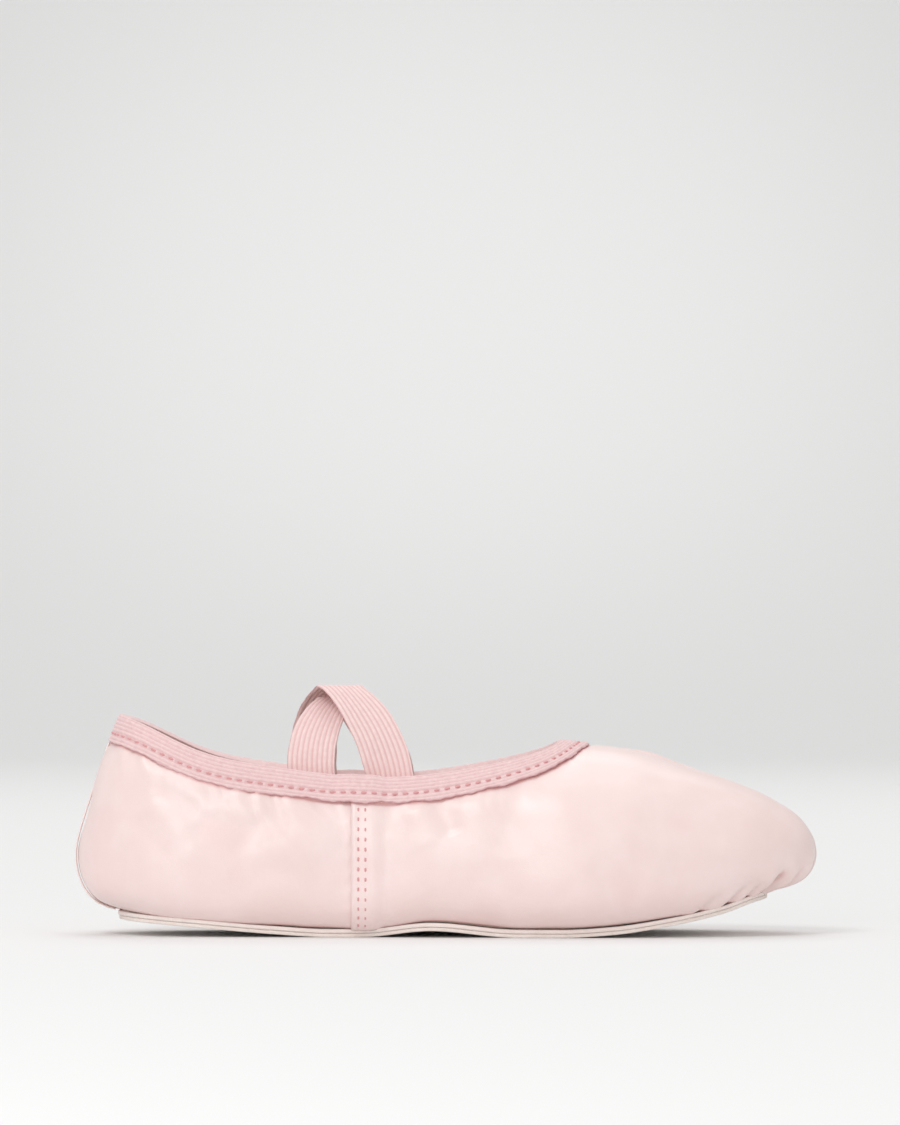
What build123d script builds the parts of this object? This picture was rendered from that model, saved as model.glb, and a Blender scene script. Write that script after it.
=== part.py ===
from build123d import *
import functools
import math
import os

import numpy as np

# Ballet slipper, millimetres. +X runs to the toe, +Z up, the ground is z = 0.
# The right side of the slipper is -Y. Every sheet is laid at an offset from one
# reference surface, the outside of the upper, along a fan of upright planes.

# ---- Overall sizes
SHOE_LENGTH = 235.0
BALL_WIDTH = 78.0
HEEL_HEIGHT = 69.0
REFERENCE_LENGTH = 235.0
REFERENCE_WIDTH = 78.0
REFERENCE_HEIGHT = 69.0

# ---- Thicknesses and clearances of the layers
UPPER_THICKNESS = 0.9
LINING_THICKNESS = 0.5
LAYER_GAP = 0.2
BINDING_THICKNESS = 0.85
BINDING_DEPTH = 9.0
SOLE_LAYER_THICKNESS = 1.25
SOLE_LAYER_GAP = 0.05
SOLE_RIM = 1.3
FEATHER_GAP = 0.5
OUTSOLE_INSET = 0.4
INSOLE_FOAM_THICKNESS = 1.5
SOCK_THICKNESS = 0.4
INSOLE_CLEARANCE = 0.7

# ---- Seams
LAP_WIDTH = 6.5
LAP_EASE_FRONT = 0.8
LAP_EASE_BACK = 1.0
SEAM_GAP = 0.15
SEAM_ROWS = (2.2, 4.4)
BINDING_ROW_DROP = 6.4
THREAD_SIZE = 0.4
PIPING_WIDTH = 1.5
PIPING_HEIGHT = 0.8
PIPING_CROWN = 0.7
BACK_SEAM_DEG = 0.3
TAPE_WIDTH = 10.0
TAPE_THICKNESS = 0.4
TAPE_START = 3.0

# ---- Crossed elastic straps
STRAP_WIDTH = 15.0
STRAP_THICKNESS = 1.0
STRAP_SPREAD = 26.4
STRAP_RISE = 26.0
STRAP_CLEARANCE = 4.0
STRAP_LEAN = 4.2
STRAP_BEND = 1.5
STRAP_START = 87.5
OVER_FULLNESS = 0.75
UNDER_FULLNESS = 1.3
STRAP_END_LENGTH = 15.0
STRAP_NOTCH_SPARE_DEG = 4.0
TACK_SIDE_MARGIN = 1.5
TACK_END_MARGIN = 2.0
STRAP_SWING_DEG = 20.0
HINGE_GAP = 0.35
WALL_GAP = 0.9

# ---- The last that the slipper is shaped on, at the reference size.
# (x, z) of the ridge over the foot, heel end to toe end.
CROWN = [
    (-117.5, 25.0), (-114.0, 40.0), (-106.6, 61.5), (-101.5, 72.5), (-93.0, 77.0),
    (-60.0, 69.5), (-30.0, 63.0), (10.0, 62.2), (44.0, 60.2), (61.5, 57.9),
    (80.6, 51.8), (99.7, 44.6), (112.0, 38.0), (116.2, 32.0), (117.5, 26.0),
]
# (x, z) of the belly, which runs under the sole's top face between the sole's ends.
BELLY = [
    (-117.5, 25.0), (-115.0, 15.0), (-110.5, 10.2), (-104.0, 7.8), (-92.0, 3.6),
    (-70.0, 0.4), (-30.0, -1.6), (-6.0, -0.4), (29.0, -1.8), (60.0, 0.0),
    (82.0, 5.0), (92.0, 9.2), (99.0, 13.2), (108.0, 16.0), (114.6, 19.6), (117.5, 26.0),
]
# (x, half width) of the last.
HALF_WIDTH = [
    (-117.5, 0.0), (-110.0, 16.8), (-95.0, 26.5), (-75.0, 30.5), (-30.0, 31.6),
    (0.0, 34.6), (25.0, 37.8), (45.0, 39.0), (65.0, 37.0), (85.0, 31.4),
    (100.0, 24.2), (110.0, 16.4), (117.5, 0.0),
]
# (x, z) of the widest line.
WAIST = [(-117.5, 25.0), (-60.0, 23.0), (0.0, 22.0), (60.0, 23.0), (117.5, 26.0)]
# (x, z) of the topline: the upper edge of the binding.
TOPLINE = [
    (-112.0, 71.5), (-100.0, 68.6), (-80.0, 59.4), (-55.0, 53.6), (-30.0, 50.6),
    (-14.0, 50.4), (10.0, 53.4), (24.0, 56.4), (32.0, 59.0), (37.0, 61.6), (44.0, 66.0),
]
# (x, z) of the sole's ground side; equal heights side by side make a flat land.
SOLE_LINE = [
    (-122.0, 6.6), (-104.0, 5.0), (-80.0, 3.1), (-55.0, 1.0), (-37.0, 0.0),
    (-27.0, 0.0), (-5.0, 2.1), (22.0, 0.0), (36.0, 0.0), (52.0, 0.9),
    (70.0, 3.6), (87.0, 7.3), (98.0, 10.9), (105.0, 12.0), (122.0, 13.0),
]
UPPER_FULLNESS = 2.2
LOWER_FULLNESS = 3.0

# ---- The fan of upright planes, as normals of a guide ellipse
FAN_CENTRE = -30.0
FAN_LENGTH = 74.4
FAN_WIDTH = 38.0
EYE_HEIGHT = 28.0
HEEL, RIGHT_SEAM, TOE, LEFT_SEAM, HEEL_AGAIN = 0.0, 90.0, 180.0, 270.0, 360.0
RIB_STEP = 5.0
RIB_POINTS = 13
SHEET_TOLERANCE = 0.01

HALF_LENGTH = SHOE_LENGTH / 2
LONG = SHOE_LENGTH / REFERENCE_LENGTH
WIDE = BALL_WIDTH / REFERENCE_WIDTH
HIGH = HEEL_HEIGHT / REFERENCE_HEIGHT
SOLE_THICKNESS = 2 * SOLE_LAYER_THICKNESS + SOLE_LAYER_GAP
LINING_OUTER = -UPPER_THICKNESS - LAYER_GAP
LINING_INNER = LINING_OUTER - LINING_THICKNESS
BINDING_INNER = LINING_INNER - LAYER_GAP
BINDING_INSIDE = BINDING_INNER - BINDING_THICKNESS


# ---- Curves
def natural_spline(stations, values):
    """A C2 curve through values at stations, as a function."""
    x, y = np.array(stations, float), np.array(values, float)
    h = np.diff(x)
    rows = np.eye(len(x))
    right = np.zeros(len(x))
    for i in range(1, len(x) - 1):
        rows[i, i - 1 : i + 2] = h[i - 1], 2 * (h[i - 1] + h[i]), h[i]
        right[i] = 6 * ((y[i + 1] - y[i]) / h[i] - (y[i] - y[i - 1]) / h[i - 1])
    bend = np.linalg.solve(rows, right)

    def curve(at):
        i = np.clip(np.searchsorted(x, at) - 1, 0, len(x) - 2)
        a, b = (x[i + 1] - at) / h[i], (at - x[i]) / h[i]
        cubic = (a**3 - a) * bend[i] + (b**3 - b) * bend[i + 1]
        return a * y[i] + b * y[i + 1] + cubic * h[i] ** 2 / 6

    return curve


def flat_keeping_spline(stations, values):
    """A C1 curve through values at stations that stays level between equal values."""
    x, y = np.array(stations, float), np.array(values, float)
    h, slope = np.diff(x), np.diff(y) / np.diff(x)
    tangent = np.concatenate([[slope[0]], np.zeros(len(x) - 2), [slope[-1]]])
    for i in range(1, len(x) - 1):
        if slope[i - 1] * slope[i] > 0:
            tangent[i] = 2 * slope[i - 1] * slope[i] / (slope[i - 1] + slope[i])

    def curve(at):
        i = np.clip(np.searchsorted(x, at) - 1, 0, len(x) - 2)
        t = (at - x[i]) / h[i]
        return (
            y[i] * (1 + 2 * t) * (1 - t) ** 2
            + y[i + 1] * t**2 * (3 - 2 * t)
            + h[i] * (tangent[i] * t * (1 - t) ** 2 + tangent[i + 1] * t**2 * (t - 1))
        )

    return curve


def along(x):
    """Position along the last as 0 to 1, stretched at the two round ends."""
    return np.arccos(np.clip(-x / HALF_LENGTH, -1, 1)) / math.pi


def last_curve(points, scale):
    stations = [float(along(x * LONG)) for x, _ in points]
    return natural_spline(stations, [v * scale for _, v in points])


crown = last_curve(CROWN, HIGH)
belly = last_curve(BELLY, HIGH)
half_width = last_curve(HALF_WIDTH, WIDE)
waist = last_curve(WAIST, HIGH)
topline_between = natural_spline([x * LONG for x, _ in TOPLINE], [z * HIGH for _, z in TOPLINE])
sole_bottom = flat_keeping_spline([x * LONG for x, _ in SOLE_LINE], [z for _, z in SOLE_LINE])


def topline(x):
    """The topline's height, running straight on past its last station."""
    inner = np.minimum(x, TOPLINE[-1][0] * LONG)
    return topline_between(inner) + (x - inner) * HIGH / LONG


def sole_top(x):
    return sole_bottom(x) + SOLE_THICKNESS


def inside_last(x, y, z):
    s = along(x)
    middle = waist(s)
    above = z > middle
    reach = np.where(above, crown(s) - middle, middle - belly(s))
    power = np.where(above, UPPER_FULLNESS, LOWER_FULLNESS)
    rise = np.abs(z - middle) / np.maximum(reach, 1e-9)
    side = np.abs(y) / np.maximum(half_width(s), 1e-9)
    return (np.abs(x) < HALF_LENGTH) & (rise**power + side**power < 1)


# ---- The fan of ribs over the reference surface
def fan_plane(angle):
    """Where the plane at this fan angle meets the long axis, and the way it faces."""
    t = math.radians(angle)
    focus = (FAN_LENGTH**2 - FAN_WIDTH**2) / FAN_LENGTH
    facing = np.array([-math.cos(t) / FAN_LENGTH, -math.sin(t) / FAN_WIDTH])
    return (FAN_CENTRE - focus * math.cos(t)) * LONG, facing / np.linalg.norm(facing)


def surface_at(angle, tilt):
    """(distance out, height) where rays at these tilts from the eye leave the last."""
    start, facing = fan_plane(angle)
    eye = EYE_HEIGHT * HIGH
    near, far = np.zeros_like(tilt), np.full_like(tilt, SHOE_LENGTH)
    for _ in range(30):
        r = (near + far) / 2
        out = r * np.cos(tilt)
        within = inside_last(start + out * facing[0], out * facing[1], eye + r * np.sin(tilt))
        near, far = np.where(within, r, near), np.where(within, far, r)
    return near * np.cos(tilt), eye + near * np.sin(tilt)


@functools.lru_cache(maxsize=None)
def rib(angle):
    """One rib, featherline to topline: arc lengths, distances out, heights and normals."""
    start, facing = fan_plane(angle)
    tilts = np.radians(np.linspace(-89, 89, 179))
    out, z = surface_at(angle, tilts)
    over_sole = z - sole_top(start + out * facing[0])
    over_top = z - topline(start + out * facing[0])
    first = np.flatnonzero((over_sole[:-1] < 0) & (over_sole[1:] >= 0) & (tilts[1:] < 0))[-1]
    last = np.flatnonzero((over_top[:-1] < 0) & (over_top[1:] >= 0) & (tilts[1:] > 0))[0]
    low = np.interp(0.0, over_sole[first : first + 2], tilts[first : first + 2])
    high = np.interp(0.0, over_top[last : last + 2], tilts[last : last + 2])
    out, z = surface_at(angle, np.linspace(low, high, 140))
    arc = np.concatenate([[0.0], np.cumsum(np.hypot(np.diff(out), np.diff(z)))])
    run, climb = np.gradient(out, arc), np.gradient(z, arc)
    size = np.hypot(run, climb)
    return arc, out, z, climb / size, -run / size


def rib_length(angle):
    return rib(angle)[0][-1]


def on_rib(angle, arc, offset=0.0):
    """The point this far up a rib and this far outside the reference surface."""
    lengths, out, z, normal_out, normal_up = rib(angle)
    start, facing = fan_plane(angle)
    inner = min(max(arc, 0.0), lengths[-1])
    nr, nz = np.interp(inner, lengths, normal_out), np.interp(inner, lengths, normal_up)
    past = arc - inner
    r = np.interp(inner, lengths, out) + offset * nr - past * nz
    h = np.interp(inner, lengths, z) + offset * nz + past * nr
    return Vector(start + r * facing[0], r * facing[1], h)


def below_top(angle, drop, offset=0.0):
    return on_rib(angle, rib_length(angle) - drop, offset)


def angles(first, last, step=RIB_STEP):
    return [float(a) for a in np.linspace(first, last, max(2, round((last - first) / step) + 1))]


def seam_angle_step(width, angle=RIGHT_SEAM):
    """The fan angle that covers a width along the slipper at the side seam."""
    gap = below_top(angle + 0.5, BINDING_DEPTH) - below_top(angle - 0.5, BINDING_DEPTH)
    return width / gap.length


# ---- Building blocks
def side_walls(outside, inside):
    """Straight walls between matching edges of two four-sided faces."""
    walls = []
    for edge in outside.edges():
        twin = min(inside.edges(), key=lambda other: (other @ 0.5 - edge @ 0.5).length)
        walls.append(Face.make_surface_from_curves(edge, twin))
    return walls


def sheet(rib_angles, low, high, inner, outer):
    """A sewn sheet: low, high, inner and outer are functions of the fan angle."""
    grids = [
        [[on_rib(a, s, offset(a)) for s in np.linspace(low(a), high(a), RIB_POINTS)] for a in rib_angles]
        for offset in (outer, inner)
    ]
    outside, inside = (Face.make_surface_from_array_of_points(g, tol=SHEET_TOLERANCE) for g in grids)
    solid = Solid(Shell([outside, inside, *side_walls(outside, inside)]))
    return solid if solid.volume > 0 else Solid(Shell([-f for f in solid.faces()]))


def constant(value):
    return lambda angle: value


def lap_lift(angle):
    """How far the vamp and the binding over it stand off the surface at the lapped seams."""
    lap = seam_angle_step(LAP_WIDTH)
    forward = min(angle - RIGHT_SEAM, LEFT_SEAM - angle)
    ease = max(0.0, forward - lap) / (LAP_EASE_FRONT * lap) + max(0.0, -forward) / (LAP_EASE_BACK * lap)
    ease = min(1.0, ease)
    return (UPPER_THICKNESS + LAYER_GAP) * (1 - ease * ease * (3 - 2 * ease))


def upper_edge(angle):
    """The upper stops one binding thickness below the topline."""
    return rib_length(angle) - BINDING_THICKNESS - LAYER_GAP


def fitted_angles(first, last):
    """Evenly spaced ribs with closer ones at the lapped seams."""
    lap = seam_angle_step(LAP_WIDTH)
    shares = (-1.5, -1.0, -0.75, -0.5, -0.25, 0.0, 0.5, 1.0, 1.2, 1.4, 1.6, 1.8, 2.3)
    near = [seam + way * lap * k for seam, way in ((RIGHT_SEAM, 1), (LEFT_SEAM, -1)) for k in shares]
    near = [a for a in near if first < a < last]
    even = [a for a in angles(first, last) if all(abs(a - w) > 0.5 * RIB_STEP for w in near)]
    return sorted({first, last, *even, *near})


# ---- Upper, lining and binding
def make_vamp():
    return sheet(
        fitted_angles(RIGHT_SEAM, LEFT_SEAM),
        lambda a: FEATHER_GAP + lap_lift(a),
        upper_edge,
        lambda a: lap_lift(a) - UPPER_THICKNESS,
        lap_lift,
    )


def make_quarter(first, last):
    return sheet(
        angles(first, last), constant(FEATHER_GAP), upper_edge, constant(-UPPER_THICKNESS), constant(0.0)
    )


def make_lining(first, last):
    return sheet(
        fitted_angles(first, last), constant(FEATHER_GAP), upper_edge, constant(LINING_INNER), constant(LINING_OUTER)
    )


def closed_strip(sections):
    """A solid through matching corner points: ruled sides and two flat ends."""
    rails = [Edge.make_spline([section[k] for section in sections]) for k in range(len(sections[0]))]
    sides = [Face.make_surface_from_curves(rail, rails[k - 1]) for k, rail in enumerate(rails)]
    ends = [Face(Wire.make_polygon(sections[i], close=True)) for i in (0, -1)]
    solid = Solid(Shell([*sides, *ends]))
    return solid if solid.volume > 0 else Solid(Shell([-f for f in solid.faces()]))


def make_binding():
    """A folded ribbed elastic: a channel over the upper's edge, joined at the heel."""
    join = 0.4
    sections = []
    for a in fitted_angles(HEEL + BACK_SEAM_DEG, HEEL_AGAIN - BACK_SEAM_DEG):
        gap = lap_lift(a) + LAYER_GAP
        out = gap + BINDING_THICKNESS
        fall = [float(d) for d in np.linspace(0.0, BINDING_DEPTH, 4)]
        hollow = [float(d) for d in np.linspace(BINDING_THICKNESS, BINDING_DEPTH, 4)]
        corners = [
            *((d, out) for d in fall[::-1]),
            *((d, BINDING_INSIDE) for d in fall),
            *((d, BINDING_INNER) for d in hollow[::-1]),
            *((d, gap) for d in hollow),
        ]
        sections.append([below_top(a, *c) for c in corners])
    return closed_strip(sections)


# ---- Soles
def outline(inset):
    """The featherline's plan, moved inward by inset, as a closed face at z = 0."""
    points = [on_rib(a, 0.0, 0.0) for a in angles(HEEL, HEEL_AGAIN, 2 * RIB_STEP)[:-1]]
    plan = []
    for i, p in enumerate(points):
        run = points[(i + 1) % len(points)] - points[i - 1]
        inward = Vector(-run.Y, run.X, 0).normalized()
        plan.append(Vector(p.X, p.Y, 0) + inward * inset)
    return Face(Wire([Edge.make_spline(plan, periodic=True)]))


def sole_edges(lift):
    """The sole line, raised by lift, as splines with straight lands between them."""
    stations = [x * LONG for x, _ in SOLE_LINE]
    heights = [z for _, z in SOLE_LINE]
    edges, run = [], []
    for i in range(len(stations) - 1):
        a, b = stations[i], stations[i + 1]
        if heights[i] == heights[i + 1]:
            if run:
                edges.append(Edge.make_spline(run))
            edges.append(Edge.make_line((a, 0, heights[i] + lift), (b, 0, heights[i] + lift)))
            run = []
            continue
        between = ((a + b) / 2, 0, float(sole_bottom((a + b) / 2)) + lift)
        run = (run or [(a, 0, heights[i] + lift)]) + [between, (b, 0, heights[i + 1] + lift)]
    return edges + [Edge.make_spline(run)]


def sole_slab(low, high):
    """A slab across the slipper between two heights over the sole line."""
    ends = [SOLE_LINE[0], SOLE_LINE[-1]]
    walls = [Edge.make_line((x * LONG, 0, z + low), (x * LONG, 0, z + high)) for x, z in ends]
    profile = Face(Wire([*sole_edges(low), *sole_edges(high), *walls]))
    return extrude(profile, amount=BALL_WIDTH, dir=(0, 1, 0), both=True)


def sole_layer(inset, low, high):
    prism = extrude(Pos(0, 0, -20) * outline(inset), amount=80)
    return (sole_slab(low, high) & prism).solids()[0]


# ---- Trim
def make_piping():
    """The raised seam down the back, from the featherline to the binding."""
    sections = []
    top = rib_length(HEEL) - BINDING_DEPTH - LAYER_GAP
    for arc in np.linspace(2 * SOLE_RIM, top, 14):
        base, tip = on_rib(HEEL, arc, LAYER_GAP), on_rib(HEEL, arc, LAYER_GAP + PIPING_HEIGHT)
        side = Vector(0, PIPING_WIDTH / 2, 0)
        sections.append(Wire.make_polygon([base - side, tip - side * PIPING_CROWN, tip + side * PIPING_CROWN, base + side], close=True))
    return Solid.make_loft(sections)


def make_tape():
    """The tape that covers the back seam inside, between the sock and the binding."""
    reach = 0.5 * TAPE_WIDTH / (below_top(1.0, BINDING_DEPTH) - below_top(0.0, BINDING_DEPTH)).length
    inner = LINING_INNER - LAYER_GAP
    return sheet(
        angles(-reach, reach, 1.0),
        constant(INSOLE_FOAM_THICKNESS + SOCK_THICKNESS + TAPE_START),
        lambda a: rib_length(a) - BINDING_DEPTH - LAYER_GAP,
        constant(inner - TAPE_THICKNESS),
        constant(inner),
    )


def thread(points):
    """The continuous thread of a stitch row, square in section, along (point, out) pairs."""
    sections = []
    for i, (point, out) in enumerate(points):
        run = points[min(i + 1, len(points) - 1)][0] - points[max(i - 1, 0)][0]
        up = out.normalized() * THREAD_SIZE / 2
        side = run.cross(out).normalized() * THREAD_SIZE / 2
        sections.append([point - up - side, point - up + side, point + up + side, point + up - side])
    return closed_strip(sections)


def thread_on_rib(angle, arc, clear):
    """A point of thread clear of the surface at this arc, with the way out."""
    point = on_rib(angle, arc, clear + THREAD_SIZE / 2 + LAYER_GAP)
    return point, point - on_rib(angle, arc, clear)


def make_binding_thread():
    return thread([
        thread_on_rib(a, rib_length(a) - BINDING_ROW_DROP, lap_lift(a) + LAYER_GAP + BINDING_THICKNESS)
        for a in fitted_angles(2.0, 358.0)
    ])


def make_seam_threads(seam, way):
    rows = []
    for row in SEAM_ROWS:
        angle = seam + way * seam_angle_step(row)
        low, high = 3 * SOLE_RIM, rib_length(angle) - BINDING_DEPTH - 1.0
        rows.append(thread([thread_on_rib(angle, float(s), lap_lift(angle)) for s in np.linspace(low, high, 10)]))
    return rows


# ---- Straps. Each runs from one side's rear to the other side's front.
STRAP_OFFSET = BINDING_INSIDE - WALL_GAP - STRAP_THICKNESS / 2


def strap_anchor(side, fore):
    """Where a strap leaves its sewn end, at the topline. side -1 is the right."""
    reach = seam_angle_step(STRAP_SPREAD / 2) * fore
    angle = RIGHT_SEAM + reach if side < 0 else LEFT_SEAM - reach
    return angle, below_top(angle, 0.0, STRAP_OFFSET)


def strap_ends(name):
    """(angle, anchor) of a strap's right and left ends."""
    fore = 1 if name == "strap_over" else -1
    return strap_anchor(-1, fore), strap_anchor(1, -fore)


def wall_run(angle):
    """The direction of the topline at a strap's end, toward the toe."""
    run = (below_top(angle + 0.5, 0.0, STRAP_OFFSET) - below_top(angle - 0.5, 0.0, STRAP_OFFSET)).normalized()
    return run if run.X > 0 else run * -1


def strap_frame(name, tilt):
    """Centre, width direction and facing of a strap, tilt -90 to 90 degrees from the right."""
    (right_angle, right), (left_angle, left) = strap_ends(name)
    swing, rise = math.sin(math.radians(tilt)), math.cos(math.radians(tilt))
    height = STRAP_RISE + (STRAP_CLEARANCE if name == "strap_over" else 0.0)
    fullness = OVER_FULLNESS if name == "strap_over" else UNDER_FULLNESS
    half = (left - right) / 2

    def centre(t):
        side, up = math.sin(math.radians(t)), math.cos(math.radians(t))
        bend = math.copysign(abs(side) ** STRAP_BEND, side)
        fat = math.copysign(abs(side) ** fullness, side)
        run = Vector(half.X * bend - STRAP_LEAN * up, half.Y * fat, height * up)
        return (right + left) / 2 + run

    tangent = (centre(tilt + 0.5) - centre(tilt - 0.5)).normalized()
    crest_width = Vector(half.Y, -half.X, 0).normalized()
    width = (wall_run(left_angle if tilt > 0 else right_angle) * swing**2 + crest_width * rise).normalized()
    facing = width.cross(tangent).normalized()
    return centre(tilt), tangent.cross(facing).normalized(), facing


def make_strap(name):
    """The free arch of a strap, from sewn line to sewn line."""
    sections = []
    for tilt in np.linspace(-STRAP_START, STRAP_START, 15):
        centre, width, facing = strap_frame(name, float(tilt))
        w, t = width * STRAP_WIDTH / 2, facing * STRAP_THICKNESS / 2
        sections.append([centre - w - t, centre + w - t, centre + w + t, centre - w + t])
    return closed_strip(sections)


def make_strap_ends(name):
    """The two sewn ends inside the quarters, notched so that the arch can swing."""
    ends = []
    slope = math.tan(math.radians(STRAP_SWING_DEG + STRAP_NOTCH_SPARE_DEG))
    for angle, anchor in strap_ends(name):
        reach = seam_angle_step(STRAP_WIDTH / 2)

        def top(a, angle=angle, reach=reach):
            return rib_length(a) - HINGE_GAP - slope * STRAP_WIDTH / 2 * abs(a - angle) / reach

        ends.append(
            sheet(
                [angle + reach * k for k in (-1, -0.5, 0, 0.5, 1)],
                lambda a: rib_length(a) - STRAP_END_LENGTH,
                top,
                constant(STRAP_OFFSET - STRAP_THICKNESS / 2),
                constant(STRAP_OFFSET + STRAP_THICKNESS / 2),
            )
        )
    return ends


def make_tacks(name):
    """The thread that holds each sewn end, on its inner face."""
    made = []
    for angle, _ in strap_ends(name):
        reach = seam_angle_step(STRAP_WIDTH / 2 - TACK_SIDE_MARGIN)
        inside = STRAP_OFFSET - STRAP_THICKNESS / 2 - LAYER_GAP - THREAD_SIZE
        made.append(
            thread([
                thread_on_rib(a, rib_length(a) - STRAP_END_LENGTH + TACK_END_MARGIN, inside - THREAD_SIZE / 2)
                for a in angles(angle - reach, angle + reach, 1.5)
            ])
        )
    return made


# ---- The slipper
def make_parts():
    lap = seam_angle_step(LAP_WIDTH)
    half_gap = SEAM_GAP / 2
    foam = SOLE_THICKNESS + LAYER_GAP
    sock = foam + INSOLE_FOAM_THICKNESS + LAYER_GAP
    insole_inset = -LINING_INNER + INSOLE_CLEARANCE
    seam_clear = seam_angle_step(half_gap)
    parts = {
        "vamp": make_vamp(),
        "quarter_right": make_quarter(HEEL + BACK_SEAM_DEG, RIGHT_SEAM + lap),
        "quarter_left": make_quarter(LEFT_SEAM - lap, HEEL_AGAIN - BACK_SEAM_DEG),
        "vamp_lining": make_lining(RIGHT_SEAM + seam_clear, LEFT_SEAM - seam_clear),
        "quarter_lining_right": make_lining(HEEL + BACK_SEAM_DEG, RIGHT_SEAM - seam_clear),
        "quarter_lining_left": make_lining(LEFT_SEAM + seam_clear, HEEL_AGAIN - BACK_SEAM_DEG),
        "topline_binding": make_binding(),
        "back_seam_piping": make_piping(),
        "back_seam_tape": make_tape(),
        "outsole": sole_layer(OUTSOLE_INSET - SOLE_RIM, 0.0, SOLE_LAYER_THICKNESS),
        "midsole": sole_layer(-SOLE_RIM, SOLE_LAYER_THICKNESS + SOLE_LAYER_GAP, SOLE_THICKNESS),
        "insole_foam": sole_layer(insole_inset, foam, foam + INSOLE_FOAM_THICKNESS),
        "sock_liner": sole_layer(insole_inset, sock, sock + SOCK_THICKNESS),
        "binding_thread": make_binding_thread(),
        "side_seam_thread_right": make_seam_threads(RIGHT_SEAM, 1),
        "side_seam_thread_left": make_seam_threads(LEFT_SEAM, -1),
    }
    for name in ("strap_over", "strap_under"):
        parts[name] = make_strap(name)
        parts[name + "_ends"] = make_strap_ends(name)
        parts[name + "_thread"] = make_tacks(name)
    return parts


os.makedirs("parts", exist_ok=True)
for node, made in make_parts().items():
    shape = Compound(children=made) if isinstance(made, list) else made
    export_step(shape, f"parts/{node}.step")
for strap in ("strap_over", "strap_under"):
    for _, point in strap_ends(strap):
        print(strap, "hinge point", [round(v, 3) for v in point])
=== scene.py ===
import math

import bpy
import numpy as np
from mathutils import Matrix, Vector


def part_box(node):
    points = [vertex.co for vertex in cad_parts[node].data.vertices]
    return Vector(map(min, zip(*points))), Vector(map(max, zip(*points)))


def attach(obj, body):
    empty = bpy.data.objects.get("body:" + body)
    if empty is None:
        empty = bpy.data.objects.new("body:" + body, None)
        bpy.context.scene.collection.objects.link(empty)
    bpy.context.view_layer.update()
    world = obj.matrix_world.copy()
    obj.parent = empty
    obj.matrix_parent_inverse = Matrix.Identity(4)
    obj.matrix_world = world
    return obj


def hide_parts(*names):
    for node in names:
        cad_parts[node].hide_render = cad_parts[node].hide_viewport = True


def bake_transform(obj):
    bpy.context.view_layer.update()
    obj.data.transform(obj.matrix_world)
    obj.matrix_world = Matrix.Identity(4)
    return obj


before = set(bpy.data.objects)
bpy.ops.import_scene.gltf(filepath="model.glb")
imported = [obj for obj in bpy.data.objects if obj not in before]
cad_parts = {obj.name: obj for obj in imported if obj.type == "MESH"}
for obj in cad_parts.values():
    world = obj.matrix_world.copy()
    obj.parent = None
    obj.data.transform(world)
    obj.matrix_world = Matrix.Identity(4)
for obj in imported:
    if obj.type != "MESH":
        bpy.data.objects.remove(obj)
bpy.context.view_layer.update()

# The last, in millimetres, as the CAD sheets were laid on. fit() takes it to the frame.
# Each pair is (x, height) or (x, half width), from the heel to the toe.
HALF_LENGTH = 117.5
CROWN = [
    (-117.5, 25.0), (-114.0, 40.0), (-106.6, 61.5), (-101.5, 72.5), (-93.0, 77.0),
    (-60.0, 69.5), (-30.0, 63.0), (10.0, 62.2), (44.0, 60.2), (61.5, 57.9),
    (80.6, 51.8), (99.7, 44.6), (112.0, 38.0), (116.2, 32.0), (117.5, 26.0),
]
BELLY = [
    (-117.5, 25.0), (-115.0, 15.0), (-110.5, 10.2), (-104.0, 7.8), (-92.0, 3.6),
    (-70.0, 0.4), (-30.0, -1.6), (-6.0, -0.4), (29.0, -1.8), (60.0, 0.0),
    (82.0, 5.0), (92.0, 9.2), (99.0, 13.2), (108.0, 16.0), (114.6, 19.6), (117.5, 26.0),
]
HALF_WIDTH = [
    (-117.5, 0.0), (-110.0, 16.8), (-95.0, 26.5), (-75.0, 30.5), (-30.0, 31.6),
    (0.0, 34.6), (25.0, 37.8), (45.0, 39.0), (65.0, 37.0), (85.0, 31.4),
    (100.0, 24.2), (110.0, 16.4), (117.5, 0.0),
]
WAIST = [(-117.5, 25.0), (-60.0, 23.0), (0.0, 22.0), (60.0, 23.0), (117.5, 26.0)]
TOPLINE = [
    (-112.0, 71.5), (-100.0, 68.6), (-80.0, 59.4), (-55.0, 53.6), (-30.0, 50.6),
    (-14.0, 50.4), (10.0, 53.4), (24.0, 56.4), (32.0, 59.0), (37.0, 61.6), (44.0, 66.0),
]
SOLE_LINE = [
    (-122.0, 6.6), (-104.0, 5.0), (-80.0, 3.1), (-55.0, 1.0), (-37.0, 0.0),
    (-27.0, 0.0), (-5.0, 2.1), (22.0, 0.0), (36.0, 0.0), (52.0, 0.9),
    (70.0, 3.6), (87.0, 7.3), (98.0, 10.9), (105.0, 12.0), (122.0, 13.0),
]
UPPER_FULLNESS, LOWER_FULLNESS = 2.2, 3.0
FAN_CENTRE, FAN_LENGTH, FAN_WIDTH, EYE_HEIGHT = -30.0, 74.4, 38.0, 28.0
HEEL, RIGHT_SEAM, LEFT_SEAM, HEEL_AGAIN = 0.0, 90.0, 270.0, 360.0

SOLE_LAYER, SOLE_GAP, SOLE_RIM = 1.25, 0.05, 1.3
SOLE_THICKNESS = 2 * SOLE_LAYER + SOLE_GAP
UPPER, LINING, LAYER_GAP = 0.9, 0.5, 0.2
LAP_WIDTH, LAP_DEGREES = 6.5, 5.35
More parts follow.
